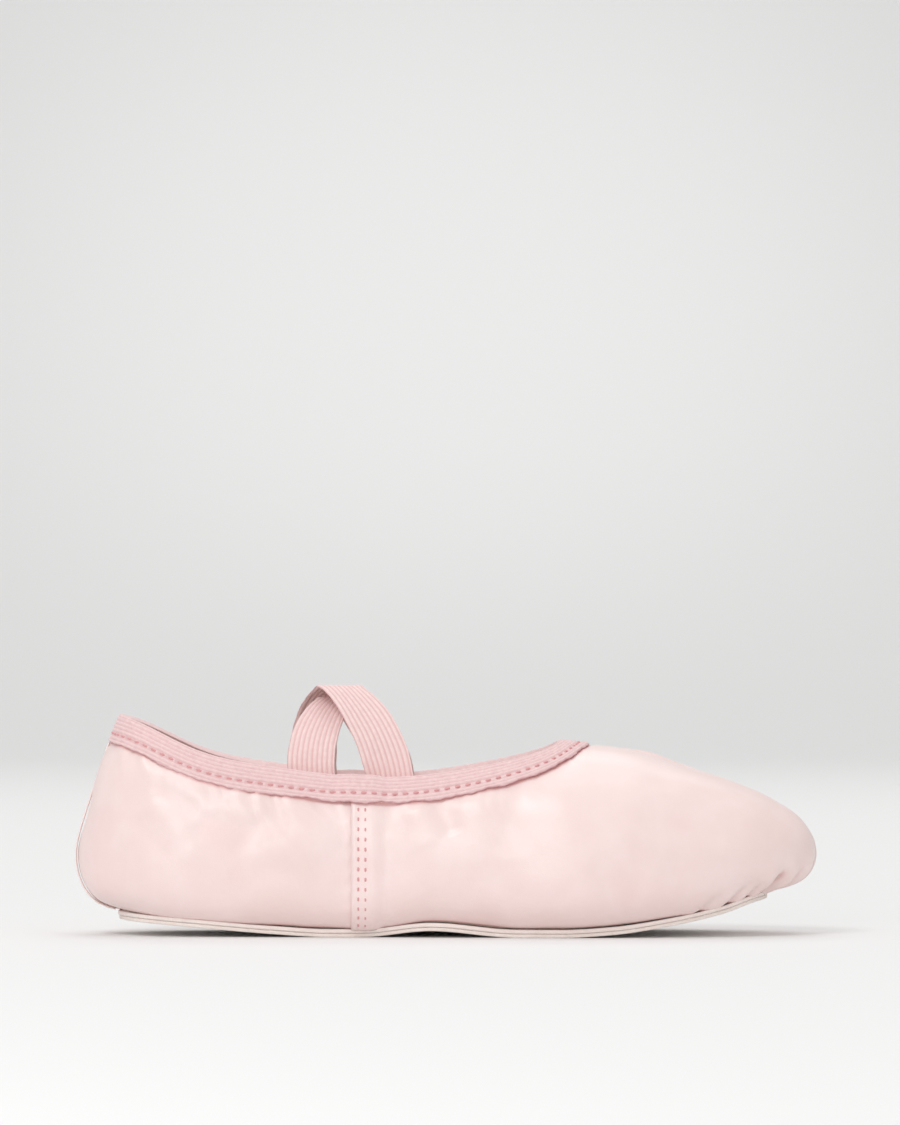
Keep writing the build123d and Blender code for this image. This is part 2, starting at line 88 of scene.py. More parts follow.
# The free lip of the soft binding hangs 0.4 below its CAD solid
BINDING, BINDING_DEPTH, BINDING_ROW_DROP = 0.85, 9.4, 6.3
LINING_OUTER = -UPPER - LAYER_GAP
LINING_INNER = LINING_OUTER - LINING
BINDING_INNER = LINING_INNER - LAYER_GAP
BINDING_INSIDE = BINDING_INNER - BINDING
STRAP_WIDTH, STRAP_THICK, STRAP_SPREAD, WALL_GAP = 15.0, 1.0, 26.4, 0.9
STRAP_RISE, STRAP_CLEARANCE, STRAP_LEAN, STRAP_BEND = 26.0, 4.0, 4.2, 1.5
OVER_FULLNESS, UNDER_FULLNESS = 0.75, 1.3
STRAP_OFFSET = BINDING_INSIDE - WALL_GAP - STRAP_THICK / 2
STRAP_END_LENGTH, TACK_DROP, TACK_MARGIN = 15.0, 13.0, 1.5

INSOLE_CLEARANCE, FOAM_THICK, SOCK_THICK = 0.7, 1.5, 0.4
OUTSOLE_INSET = 0.4
TAPE_HALF_DEGREES, TAPE_START, TAPE_THICK = 9.0, 4.9, 0.4
BACK_SEAM_DEGREES, LINING_SEAM_DEGREES = 0.3, 0.1
SEAM_ROWS = (2.2, 4.4)
BINDING_RIB, BINDING_STITCH, SEAM_STITCH, TACK_STITCH = 1.25, 3.3, 3.1, 2.4
STRAP_RIBS = 9.5

RNG = np.random.default_rng(7)


# ---- Curves, as in the CAD
def natural_spline(stations, values):
    x, y = np.array(stations, float), np.array(values, float)
    h = np.diff(x)
    rows, right = np.eye(len(x)), np.zeros(len(x))
    for i in range(1, len(x) - 1):
        rows[i, i - 1 : i + 2] = h[i - 1], 2 * (h[i - 1] + h[i]), h[i]
        right[i] = 6 * ((y[i + 1] - y[i]) / h[i] - (y[i] - y[i - 1]) / h[i - 1])
    bend = np.linalg.solve(rows, right)

    def curve(at):
        i = np.clip(np.searchsorted(x, at) - 1, 0, len(x) - 2)
        a, b = (x[i + 1] - at) / h[i], (at - x[i]) / h[i]
        cubic = (a**3 - a) * bend[i] + (b**3 - b) * bend[i + 1]
        return a * y[i] + b * y[i + 1] + cubic * h[i] ** 2 / 6

    return curve


def flat_keeping_spline(stations, values):
    x, y = np.array(stations, float), np.array(values, float)
    h, slope = np.diff(x), np.diff(y) / np.diff(x)
    tangent = np.concatenate([[slope[0]], np.zeros(len(x) - 2), [slope[-1]]])
    for i in range(1, len(x) - 1):
        if slope[i - 1] * slope[i] > 0:
            tangent[i] = 2 * slope[i - 1] * slope[i] / (slope[i - 1] + slope[i])

    def curve(at):
        i = np.clip(np.searchsorted(x, at) - 1, 0, len(x) - 2)
        t = (at - x[i]) / h[i]
        line = y[i] * (1 + 2 * t) * (1 - t) ** 2 + y[i + 1] * t**2 * (3 - 2 * t)
        return line + h[i] * (tangent[i] * t * (1 - t) ** 2 + tangent[i + 1] * t**2 * (t - 1))

    return curve


def along(x):
    return np.arccos(np.clip(-x / HALF_LENGTH, -1, 1)) / math.pi


def last_curve(points):
    return natural_spline([float(along(x)) for x, _ in points], [v for _, v in points])


crown, belly, half_width, waist = (last_curve(p) for p in (CROWN, BELLY, HALF_WIDTH, WAIST))
topline_between = natural_spline(*zip(*TOPLINE))
sole_bottom = flat_keeping_spline(*zip(*SOLE_LINE))


def topline(x):
    inner = np.minimum(x, TOPLINE[-1][0])
    return topline_between(inner) + (x - inner)


def inside_last(x, y, z):
    s = along(x)
    middle = waist(s)
    above = z > middle
    reach = np.where(above, crown(s) - middle, middle - belly(s))
    power = np.where(above, UPPER_FULLNESS, LOWER_FULLNESS)
    rise = np.abs(z - middle) / np.maximum(reach, 1e-9)
    side = np.abs(y) / np.maximum(half_width(s), 1e-9)
    return (np.abs(x) < HALF_LENGTH) & (rise**power + side**power < 1)


def smooth(t):
    t = np.clip(t, 0.0, 1.0)
    return t * t * (3 - 2 * t)


class Fan:
    """Ribs over the last at many fan angles at once, each from the sole to the topline."""

    SAMPLES = 320

    def __init__(self, angles):
        self.angles = np.asarray(angles, float)
        t = np.radians(self.angles)
        focus = (FAN_LENGTH**2 - FAN_WIDTH**2) / FAN_LENGTH
        self.start = FAN_CENTRE - focus * np.cos(t)
        facing = np.stack([-np.cos(t) / FAN_LENGTH, -np.sin(t) / FAN_WIDTH], 1)
        self.facing = facing / np.linalg.norm(facing, axis=1)[:, None]
        tilts = np.tile(np.radians(np.linspace(-89, 89, 179)), (len(t), 1))
        out, z = self.cast(tilts)
        x = self.start[:, None] + out * self.facing[:, :1]
        low, high = np.zeros(len(t)), np.zeros(len(t))
        over_sole, over_top = z - sole_bottom(x) - SOLE_THICKNESS, z - topline(x)
        for i in range(len(t)):
            s, p, a = over_sole[i], over_top[i], tilts[i]
            first = np.flatnonzero((s[:-1] < 0) & (s[1:] >= 0) & (a[1:] < 0))[-1]
            last = np.flatnonzero((p[:-1] < 0) & (p[1:] >= 0) & (a[1:] > 0))[0]
            low[i] = np.interp(0.0, s[first : first + 2], a[first : first + 2])
            high[i] = np.interp(0.0, p[last : last + 2], a[last : last + 2])
        share = np.linspace(0, 1, self.SAMPLES)
        out, z = self.cast(low[:, None] + (high - low)[:, None] * share)
        steps = np.hypot(np.diff(out, axis=1), np.diff(z, axis=1))
        arc = np.concatenate([np.zeros((len(t), 1)), np.cumsum(steps, axis=1)], axis=1)
        self.length = arc[:, -1]
        self.out, self.z = np.zeros_like(out), np.zeros_like(z)
        for i in range(len(t)):
            even = share * self.length[i]
            self.out[i], self.z[i] = np.interp(even, arc[i], out[i]), np.interp(even, arc[i], z[i])
        run, climb = np.gradient(self.out, axis=1), np.gradient(self.z, axis=1)
        size = np.hypot(run, climb)
        self.normal_out, self.normal_up = climb / size, -run / size

    def cast(self, tilts):
        near, far = np.zeros_like(tilts), np.full_like(tilts, 240.0)
        fx, fy = self.facing[:, :1], self.facing[:, 1:]
        for _ in range(26):
            r = (near + far) / 2
            flat = r * np.cos(tilts)
            within = inside_last(self.start[:, None] + flat * fx, flat * fy, EYE_HEIGHT + r * np.sin(tilts))
            near, far = np.where(within, r, near), np.where(within, far, r)
        return near * np.cos(tilts), EYE_HEIGHT + near * np.sin(tilts)

    def points(self, arc, offset):
        """Positions at arc lengths up each rib and offsets out of it, both (ribs, steps)."""
        arc = np.broadcast_to(arc, (len(self.angles), np.shape(arc)[-1])).astype(float)
        inner = np.clip(arc, 0, self.length[:, None])
        past = arc - inner
        place = inner / self.length[:, None] * (self.SAMPLES - 1)
        i = np.minimum(place.astype(int), self.SAMPLES - 2)
        f = place - i
        row = np.arange(len(self.angles))[:, None]

        def pick(values):
            return values[row, i] * (1 - f) + values[row, i + 1] * f

        nr, nz = pick(self.normal_out), pick(self.normal_up)
        r = pick(self.out) + offset * nr - past * nz
        h = pick(self.z) + offset * nz + past * nr
        return np.stack([self.start[:, None] + r * self.facing[:, :1], r * self.facing[:, 1:], h], -1)

    def below_top(self, drop, offset):
        return self.points(self.length[:, None] - drop, offset)


# ---- The fit to the frame
heel_box, toe_box, edge_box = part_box("quarter_right"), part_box("vamp"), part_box("topline_binding")
REFERENCE = {"heel": -117.5, "toe": 117.33, "side": 39.05, "top": 70.11}
SCALE_X = (toe_box[1][0] - heel_box[0][0]) / (REFERENCE["toe"] - REFERENCE["heel"])
SHIFT_X = heel_box[0][0] - REFERENCE["heel"] * SCALE_X
SCALE_Y = (toe_box[1][1] - toe_box[0][1]) / (2 * REFERENCE["side"])
SCALE_Z = edge_box[1][2] / REFERENCE["top"]


def fit(points):
    """Millimetres on the last to metres in the frame."""
    points = np.asarray(points, float)
    return points * np.array([SCALE_X, SCALE_Y, SCALE_Z]) + np.array([SHIFT_X, 0.0, 0.0])


# ---- Noise and creases
def waves(u, v, size, seed, count=14):
    """Smooth noise of about unit size, with features about this many millimetres across."""
    rng = np.random.default_rng(seed)
    total = 0.0
    for _ in range(count):
        turn, k = rng.uniform(0, 2 * math.pi), 2 * math.pi / (size * rng.uniform(0.7, 1.6))
        total = total + np.sin(k * (u * math.cos(turn) + v * math.sin(turn)) + rng.uniform(0, 2 * math.pi))
    return total / math.sqrt(count / 2)


def crease(x, z, a, b, width, depth, roll=0.45):
    """A valley from a to b with a soft roll on both sides, fading at its ends."""
    (ax, az), (bx, bz) = a, b
    dx, dz = bx - ax, bz - az
    length = math.hypot(dx, dz)
    t = ((x - ax) * dx + (z - az) * dz) / length**2
    away = np.abs((x - ax) * dz - (z - az) * dx) / length
    fade = smooth((t + 0.15) / 0.3) * smooth((1.15 - t) / 0.3)
    valley = np.exp(-((away / width) ** 2))
    rolls = np.exp(-(((away - 2.0 * width) / (1.3 * width)) ** 2))
    return depth * fade * (roll * rolls - valley)


# ---- Mesh builders
def add_mesh(name, points, faces, material, body=True, painted_shade=None):
    """A piece that rides on the slipper unless body is off. Its shade weights, 0 to 1, darken its material
    as painted shade.
    """
    mesh = bpy.data.meshes.new(name)
    mesh.from_pydata([tuple(p) for p in points], [], [tuple(int(k) for k in f) for f in faces])
    if painted_shade is not None:
        shade = mesh.attributes.new("painted_shade", "FLOAT", "POINT")
        shade.data.foreach_set("value", np.asarray(painted_shade, float).ravel())
    mesh.materials.append(material)
    mesh.shade_smooth()
    mesh.update()
    obj = bpy.data.objects.new(name, mesh)
    bpy.context.scene.collection.objects.link(obj)
    if body:
        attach(obj, "slipper")
    return obj


def grid_faces(n, m, start=0, closed_m=False, flip=False):
    """Quads over an n by m grid of points, closed round its second way if asked."""
    i = np.arange(n - 1)[:, None]
    j = np.arange(m if closed_m else m - 1)[None, :]
    a = start + i * m + j
    b = start + (i + 1) * m + j
    c = start + (i + 1) * m + (j + 1) % m
    d = start + i * m + (j + 1) % m
    corners = (a, d, c, b) if flip else (a, b, c, d)
    return np.stack(np.broadcast_arrays(*corners), -1).reshape(-1, 4)


def rim_faces(n, m, other):
    """Walls that join the edges of one grid to those of the same grid at a later start."""
    loop = [i * m for i in range(n)] + [(n - 1) * m + j for j in range(1, m)]
    loop += [i * m + m - 1 for i in range(n - 2, -1, -1)] + [j for j in range(m - 2, 0, -1)]
    loop = np.array(loop)
    nxt = np.roll(loop, -1)
    return np.stack([nxt, loop, loop + other, nxt + other], -1)


def thick_sheet(name, outer, inner, material, painted_shade=None):
    """A closed sheet between two grids of points. Only the outer side takes the painted shade."""
    n, m = outer.shape[:2]
    count = n * m
    faces = np.concatenate([
        grid_faces(n, m), grid_faces(n, m, count, flip=True), rim_faces(n, m, count),
    ])
    points = fit(np.concatenate([outer.reshape(-1, 3), inner.reshape(-1, 3)]))
    painted_shade = None if painted_shade is None else np.concatenate([painted_shade.ravel(), 0 * painted_shade.ravel()])
    return add_mesh(name, points, faces, material, painted_shade=painted_shade)


def tube_strip(name, sections, material, body=True, painted_shade=None):
    """A closed strip through equal rings of points, (rings, points, 3)."""
    n, m = sections.shape[:2]
    faces = [tuple(f) for f in grid_faces(n, m, closed_m=True)]
    faces += [tuple(range(m)), tuple((n - 1) * m + j for j in range(m - 1, -1, -1))]
    return add_mesh(name, fit(sections.reshape(-1, 3)), faces, material, body=body, painted_shade=painted_shade)


def sheet_cut(grid):
    """(width, length) of the rectangle that a sheet is cut from, with its area."""
    p = fit(grid.reshape(-1, 3)).reshape(grid.shape)
    u, v = p[1:, :-1] - p[:-1, :-1], p[:-1, 1:] - p[:-1, :-1]
    area = float(np.linalg.norm(np.cross(u, v), axis=-1).sum())
    wide = np.linalg.norm(np.diff(p, axis=1), axis=-1).sum(1).max()
    long = max(area / wide, np.linalg.norm(np.diff(p, axis=0), axis=-1).sum(0).mean())
    return (float(wide), float(long)), min(area, float(wide * long))


# ---- Materials
def linear(rgb):
    out = []
    for v in rgb:
        v = v / 255
        out.append(v / 12.92 if v <= 0.04045 else ((v + 0.055) / 1.055) ** 2.4)
    return (*out, 1.0)


class Look:
    """A material with a principled shader and short ways to add pattern to it."""

    def __init__(self, name, rgb, roughness, **sockets):
        self.material = bpy.data.materials.new(name)
        self.material.use_nodes = True
        self.tree = self.material.node_tree
        self.shader = self.tree.nodes["Principled BSDF"]
        self.shader.inputs["Base Color"].default_value = linear(rgb)
        self.shader.inputs["Roughness"].default_value = roughness
        for key, value in sockets.items():
            self.shader.inputs[key.replace("_", " ")].default_value = value
        self.place = self.tree.nodes.new("ShaderNodeTexCoord").outputs["Object"]
        self.height = None

    def node(self, kind, **values):
        node = self.tree.nodes.new(kind)
        for key, value in values.items():
            setattr(node, key, value)
        return node

    def link(self, a, b):
        self.tree.links.new(a, b)

    def noise(self, scale, detail=3.0, roughness=0.55):
        node = self.node("ShaderNodeTexNoise")
        node.inputs["Scale"].default_value = scale
        node.inputs["Detail"].default_value = detail
        node.inputs["Roughness"].default_value = roughness
        self.link(self.place, node.inputs["Vector"])
        return node.outputs["Fac"]

    def cells(self, scale):
        node = self.node("ShaderNodeTexVoronoi", feature="F1")
        node.inputs["Scale"].default_value = scale
        self.link(self.place, node.inputs["Vector"])
        return node.outputs["Distance"]

    def bands(self, scale, direction, distortion=0.0):
        node = self.node("ShaderNodeTexWave", wave_type="BANDS", bands_direction=direction)
        node.inputs["Scale"].default_value = scale
        node.inputs["Distortion"].default_value = distortion
        self.link(self.place, node.inputs["Vector"])
        return node.outputs["Fac"]

    def tint(self, fac, rgb_low, rgb_high, low=0.3, high=0.7):
        ramp = self.node("ShaderNodeValToRGB")
        ramp.color_ramp.elements[0].position = low
        ramp.color_ramp.elements[1].position = high
        ramp.color_ramp.elements[0].color = linear(rgb_low)
        ramp.color_ramp.elements[1].color = linear(rgb_high)
        self.link(fac, ramp.inputs["Fac"])
        self.link(ramp.outputs["Color"], self.shader.inputs["Base Color"])
        self.colour = ramp.outputs["Color"]

    def paint_shade(self, rgb):
        """Paints shade: mixes toward this shade colour by the mesh's painted shade weights."""
        painted_shade = self.node("ShaderNodeAttribute", attribute_name="painted_shade")
        mix = self.node("ShaderNodeMix", data_type="RGBA")
        factor, first, second, result = mix.inputs[0], mix.inputs[6], mix.inputs[7], mix.outputs[2]
        second.default_value = linear(rgb)
        self.link(painted_shade.outputs["Fac"], factor)
        self.link(self.colour, first)
        self.link(result, self.shader.inputs["Base Color"])

    def rough(self, fac, low, high):
        span = self.node("ShaderNodeMapRange")
        span.inputs["To Min"].default_value = low
        span.inputs["To Max"].default_value = high
        self.link(fac, span.inputs["Value"])
        self.link(span.outputs["Result"], self.shader.inputs["Roughness"])

    def bump(self, fac, distance, strength=1.0):
        node = self.node("ShaderNodeBump")
        node.inputs["Strength"].default_value = strength
        node.inputs["Distance"].default_value = distance
        self.link(fac, node.inputs["Height"])
        if self.height is not None:
            self.link(self.height, node.inputs["Normal"])
        self.height = node.outputs["Normal"]
        self.link(self.height, self.shader.inputs["Normal"])


def leather_look():
    look = Look("upper_leather", (245, 222, 219), 0.36, Sheen_Weight=0.1, Specular_IOR_Level=0.8)
    look.tint(look.noise(55, 4.0), (243, 219, 215), (247, 225, 222), 0.35, 0.68)
    # Painted shade: under the binding, along the featherline, in the leather's hollows and in the toe
    # pleats
    look.paint_shade((214, 150, 148))
    look.rough(look.noise(120, 4.0), 0.30, 0.44)
    look.bump(look.cells(2600), 0.00006, 0.35)
    look.bump(look.noise(900, 5.0), 0.00010, 0.30)
    look.bump(look.noise(160, 3.0), 0.00025, 0.2)
    return look.material


def elastic_look(name, rgb_low, rgb_high, groove):
    look = Look(name, rgb_high, 0.75, Sheen_Weight=0.2, Specular_IOR_Level=0.25)
    look.tint(look.noise(700, 4.0), rgb_low, rgb_high, 0.3, 0.7)
    # Painted shade in the rib grooves, and on the binding also along its stitch row and under its lip
    look.paint_shade(groove)
    look.bump(look.cells(2200), 0.00006, 0.4)
    look.bump(look.noise(2600, 3.0, 0.6), 0.00006, 0.4)
    return look.material


def weave_look(name, rgb_low, rgb_high, threads):
    look = Look(name, rgb_high, 0.88, Sheen_Weight=0.2, Specular_IOR_Level=0.2)
    look.tint(look.noise(300, 4.0), rgb_low, rgb_high)
    look.bump(look.bands(threads, "X", distortion=0.8), 0.00010, 0.5)
    look.bump(look.bands(threads, "Z", distortion=0.8), 0.00010, 0.5)
    look.bump(look.noise(1500, 4.0, 0.7), 0.00010, 0.5)
    return look.material


def suede_look(name, rgb_low, rgb_high):
    look = Look(name, rgb_high, 0.92, Sheen_Weight=0.4, Specular_IOR_Level=0.15)
    look.tint(look.noise(420, 6.0, 0.7), rgb_low, rgb_high, 0.3, 0.72)
    look.bump(look.noise(2200, 6.0, 0.75), 0.00028, 0.8)
    look.bump(look.noise(320, 3.0), 0.0004, 0.4)
    return look.material


def plain_look(name, rgb, roughness, grain=1800):
    look = Look(name, rgb, roughness, Specular_IOR_Level=0.3)
    look.bump(look.noise(grain, 4.0, 0.7), 0.00012, 0.6)
    return look.material


LEATHER = leather_look()
# The last colour of each elastic is the painted shade of its grooves
BINDING_LOOK = elastic_look("binding_elastic", (232, 199, 200), (240, 212, 210), (208, 156, 159))
STRAP_LOOK = elastic_look("strap_elastic", (238, 209, 207), (245, 219, 215), (216, 168, 169))
LINING_LOOK = weave_look("lining", (214, 190, 182), (232, 212, 203), 520)
SOCK_LOOK = weave_look("sock_fabric", (224, 198, 188), (238, 214, 205), 420)
SUEDE = suede_look("outsole_suede", (243, 228, 220), (252, 242, 236))
BOARD = suede_look("midsole_board", (248, 232, 226), (253, 241, 236))
THREAD = plain_look("thread", (222, 162, 163), 0.6)
PIPING = plain_look("piping", (252, 234, 230), 0.5, 900)
FOAM = plain_look("foam", (236, 224, 210), 0.9, 2600)


# ---- Relief of the upper
def lap_lift(angle):
    """How far the vamp stands off the last where it laps over the quarters."""
    forward = np.minimum(angle - RIGHT_SEAM, LEFT_SEAM - angle)
    ease = np.maximum(0.0, forward - LAP_DEGREES) / (0.8 * LAP_DEGREES)
    ease = ease + np.maximum(0.0, -forward) / LAP_DEGREES
    return (UPPER + LAYER_GAP) * (1 - smooth(ease))


# (fan angle, width in degrees, depth, height) of the pleats under the toe
TOE_PLEATS = [
    (169.4, 0.55, 0.9, 7.0), (173.9, 0.62, 2.4, 12.0), (176.6, 0.50, 1.9, 17.0), (178.6, 0.38, 1.1, 20.0),
    (166.4, 0.60, 0.5, 6.0), (181.2, 0.40, 1.4, 18.0), (183.6, 0.50, 1.9, 15.0), (186.4, 0.55, 1.8, 11.0),
    (190.4, 0.60, 0.9, 8.0), (194.0, 0.60, 0.5, 6.0), (171.6, 0.45, 0.7, 6.0), (188.6, 0.45, 0.6, 6.0),
]


def toe_pleats(angle, arc):
    """The gathers drawn in under the toe: ridges between deep notches."""
    gathered = 0.0
    for k, (at, width, depth, high) in enumerate(TOE_PLEATS):
        lean = at + 0.035 * (arc - 2.0) * math.sin(2.3 * k + 0.8)
        fade = smooth((high + 5.0 - arc) / (high * 0.8))
        off = (angle - lean) / (width * (1 + 0.05 * arc))
        ridges = 0.55 * np.exp(-(((np.abs(off) - 2.0) / 1.0) ** 2))
        gathered = gathered + depth * fade * (ridges - np.exp(-(off**2)))
    return gathered


def pleat_sink(angle, arc):
    """How far the pleats carry every layer inward."""
    deep = np.minimum(toe_pleats(angle, arc) + 0.5, 0.0)
    return 1.4 * np.tanh(deep / 1.4) * smooth((arc - 0.3) / 2.5)


# The leather's folds, (x, height) from and to, width and depth
FOLDS = [
    ((-92, 47.0), (-79, 40.5), 3.2, 0.95), ((-80, 50.0), (-70, 44.0), 2.6, 0.55),
    ((-78, 36.0), (-64, 29.0), 4.2, 0.80), ((-66, 33.0), (-50, 38.0), 4.6, 0.70),
    ((-98, 38.0), (-88, 26.0), 4.0, 0.55), ((-60, 22.0), (-38, 18.0), 5.0, 0.45),
    ((-3.0, 44.0), (2.0, 33.0), 4.0, 1.35), ((22.0, 49.0), (20.0, 28.0), 5.0, 0.70),
    ((2.0, 44.0), (9.0, 47.0), 2.6, 0.50), ((-18.0, 42.0), (-12.0, 34.0), 3.0, 0.50),
    ((46.0, 24.0), (60.0, 13.0), 6.0, 0.80), ((62.0, 38.0), (88.0, 32.0), 6.0, 0.45),
]
# Deepest hollow that still leaves the leather outside its own inner face, and highest roll
DEEPEST, HIGHEST = 0.74, 1.6


def upper_relief(points, angle, arc, length):
    """How far the leather stands off its CAD surface, in millimetres."""
    x, z = points[..., 0], points[..., 2]
    right = points[..., 1] < 0
    drop = length - arc - BINDING_DEPTH
    seed = np.where(right, 0.0, 37.0)
    h = 0.42 * waves(x + seed, z * 1.2, 44, 3) + 0.08 * waves(x + seed, z, 14, 4)
    # Puckers where the binding's stitches draw the leather in
    pucker = np.sin(2 * math.pi * (x + 0.3 * z) / 4.4 + 2.2 * waves(x + seed, z, 18, 5))
    h += 0.10 * pucker * np.exp(-np.maximum(drop, 0) / 4.0)
    h += -0.35 * np.exp(-((np.maximum(drop, 0) / 2.2) ** 2))
    # Soft gathers that run down from the binding
    run = np.sin(2 * math.pi * (x + 0.55 * z) / 11.0 + 2.5 * waves(x + seed, z, 40, 6))
    patches = smooth(waves(x + seed, z, 50, 8) * 0.5 + 0.5)
    h += 0.26 * run * np.exp(-np.maximum(drop - 2, 0) / 12.0) * patches
    for k, (a, b, width, depth) in enumerate(FOLDS):
        slide = np.where(right, 0.0, 4.0 * math.sin(3.1 * k))
        h += crease(x + slide, z, a, b, width, depth * 0.9)
    # The ridge along the vamp's side
    ridge = np.exp(-(((z - (39.4 - (x - 33) * 0.295)) / 6.0) ** 2))
    h += 0.8 * ridge * smooth((x - 25) / 20) * smooth((98 - x) / 18)
    h += np.maximum(toe_pleats(angle, arc), -0.5)
    # Seams draw the leather in
    forward = np.minimum(angle - RIGHT_SEAM, LEFT_SEAM - angle) / LAP_DEGREES * LAP_WIDTH
    for row in SEAM_ROWS:
        h += -0.28 * np.exp(-(((forward - row) / 0.55) ** 2))
    h += -0.22 * np.exp(-(((forward - LAP_WIDTH - 3.0) / 2.4) ** 2)) * (forward > 0)
    behind = -forward
    h += 0.22 * np.exp(-((behind / 3.0) ** 2)) * (forward <= 0) * np.sin(arc * 0.55) ** 2
    # The heel seam
    heel = np.minimum(angle, 360 - angle)
    h += -0.3 * np.exp(-((heel / 1.6) ** 2))
    # The featherline is drawn in and under
    h += -0.25 * np.exp(-((arc / 1.6) ** 2))
    return np.where(h > 0, HIGHEST * np.tanh(h / HIGHEST), DEEPEST * np.tanh(h / DEEPEST))


UPPER_EDGE = BINDING + LAYER_GAP
UPPER_START = 0.14
DETAIL = 1.0


def steps(count):
    return max(8, int(count * DETAIL))


def make_upper(name, node, first, last, columns, rows, lapped):
    """A leather skin between two fan angles. The lapped one lies over the others' edges."""
    if lapped:
        # Closer together at the toe, where the pleats are
        even = np.linspace(-1, 1, columns)
        fan = Fan((first + last) / 2 + (last - first) / 2 * (even * 0.3 + even**3 * 0.7))
        rise = lap_lift(fan.angles)
    else:
        fan = Fan(np.linspace(first, last, columns))
        rise = np.zeros(columns)
    share = np.linspace(0, 1, rows)
    low = UPPER_START + rise
    high = fan.length - UPPER_EDGE
    arc = low[:, None] + (high - low)[:, None] * share
    lift = rise[:, None]
    angle = np.broadcast_to(fan.angles[:, None], arc.shape)
    base = fan.points(arc, np.zeros_like(arc))
    relief = upper_relief(base, angle, arc, fan.length[:, None])
    if not lapped:
        past_right = np.maximum(angle - RIGHT_SEAM, 0) * (angle < 180)
        past_left = np.maximum(LEFT_SEAM - angle, 0) * (angle > 180)
        under = smooth(past_right + past_left)
        relief = relief * (1 - under) - 0.05 * under
    hidden = smooth((fan.length[:, None] - arc - BINDING_DEPTH + 1.5) / 1.5)
    relief = relief * hidden - 0.1 * (1 - hidden)
    sink = pleat_sink(angle, arc)
    outer = fan.points(arc, lift + relief + sink)
    inner = fan.points(arc, lift - UPPER + sink)
    drop = fan.length[:, None] - arc - BINDING_DEPTH
    # Painted shade: a dark line under the binding and along the featherline, and shade in the leather's
    # hollows and the toe pleats
    painted_shade = 0.75 * np.exp(-((np.maximum(drop, 0) / 0.55) ** 2)) + 0.9 * np.exp(-((arc / 0.6) ** 2))
    painted_shade = painted_shade + 0.32 * smooth((-relief - 0.35) / 0.9) + 0.55 * smooth(-sink / 1.2)
    skin = thick_sheet(name, outer, inner, LEATHER, painted_shade=np.clip(painted_shade, 0, 1))
    flat, area = sheet_cut(outer)
    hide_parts(node)


make_upper("vamp_skin", "vamp", RIGHT_SEAM, LEFT_SEAM, steps(420), steps(110), True)
lap_right, lap_left = RIGHT_SEAM + LAP_DEGREES, LEFT_SEAM - LAP_DEGREES
back_right, back_left = HEEL + BACK_SEAM_DEGREES, HEEL_AGAIN - BACK_SEAM_DEGREES
make_upper("quarter_skin_right", "quarter_right", back_right, lap_right, steps(240), steps(110), False)
make_upper("quarter_skin_left", "quarter_left", lap_left, back_left, steps(240), steps(110), False)


# ---- Linings
def make_lining(name, node, first, last, columns):
    rows = steps(50)
    fan = Fan(np.linspace(first, last, columns))
    arc = 0.5 + (fan.length - UPPER_EDGE - 0.5)[:, None] * np.linspace(0, 1, rows)
    base = fan.points(arc, np.zeros_like(arc))
    ripple = 0.06 * waves(base[..., 0], base[..., 2], 12, 21) - 0.08
    inner_ripple = np.minimum(ripple, 0.0)
    sink = pleat_sink(fan.angles[:, None], arc)
    outer = fan.points(arc, LINING_OUTER + sink)
    inner = fan.points(arc, LINING_INNER + sink - inner_ripple * 0.8)
    skin = thick_sheet(name, outer, inner, LINING_LOOK)
    flat, area = sheet_cut(outer)
    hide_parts(node)


front_right, front_left = RIGHT_SEAM + LINING_SEAM_DEGREES, LEFT_SEAM - LINING_SEAM_DEGREES
rear_right, rear_left = RIGHT_SEAM - LINING_SEAM_DEGREES, LEFT_SEAM + LINING_SEAM_DEGREES
make_lining("vamp_lining_cloth", "vamp_lining", front_right, front_left, steps(180))
make_lining("quarter_lining_cloth_right", "quarter_lining_right", back_right, rear_right, steps(110))
make_lining("quarter_lining_cloth_left", "quarter_lining_left", rear_left, back_left, steps(110))


def binding_outside(drop):
    """Thickness of the binding's outer leg at a drop: fine ribs, a sewn groove and a free lip."""
    ribs = 0.13 * np.cos(2 * math.pi * drop / BINDING_RIB)
    groove = -0.30 * np.exp(-(((drop - BINDING_ROW_DROP) / 0.55) ** 2))
    lip = -0.35 * smooth((drop - BINDING_DEPTH + 0.7) / 0.7)
    return BINDING - 0.10 + ribs * smooth((drop - 0.3) / 0.6) + groove + lip


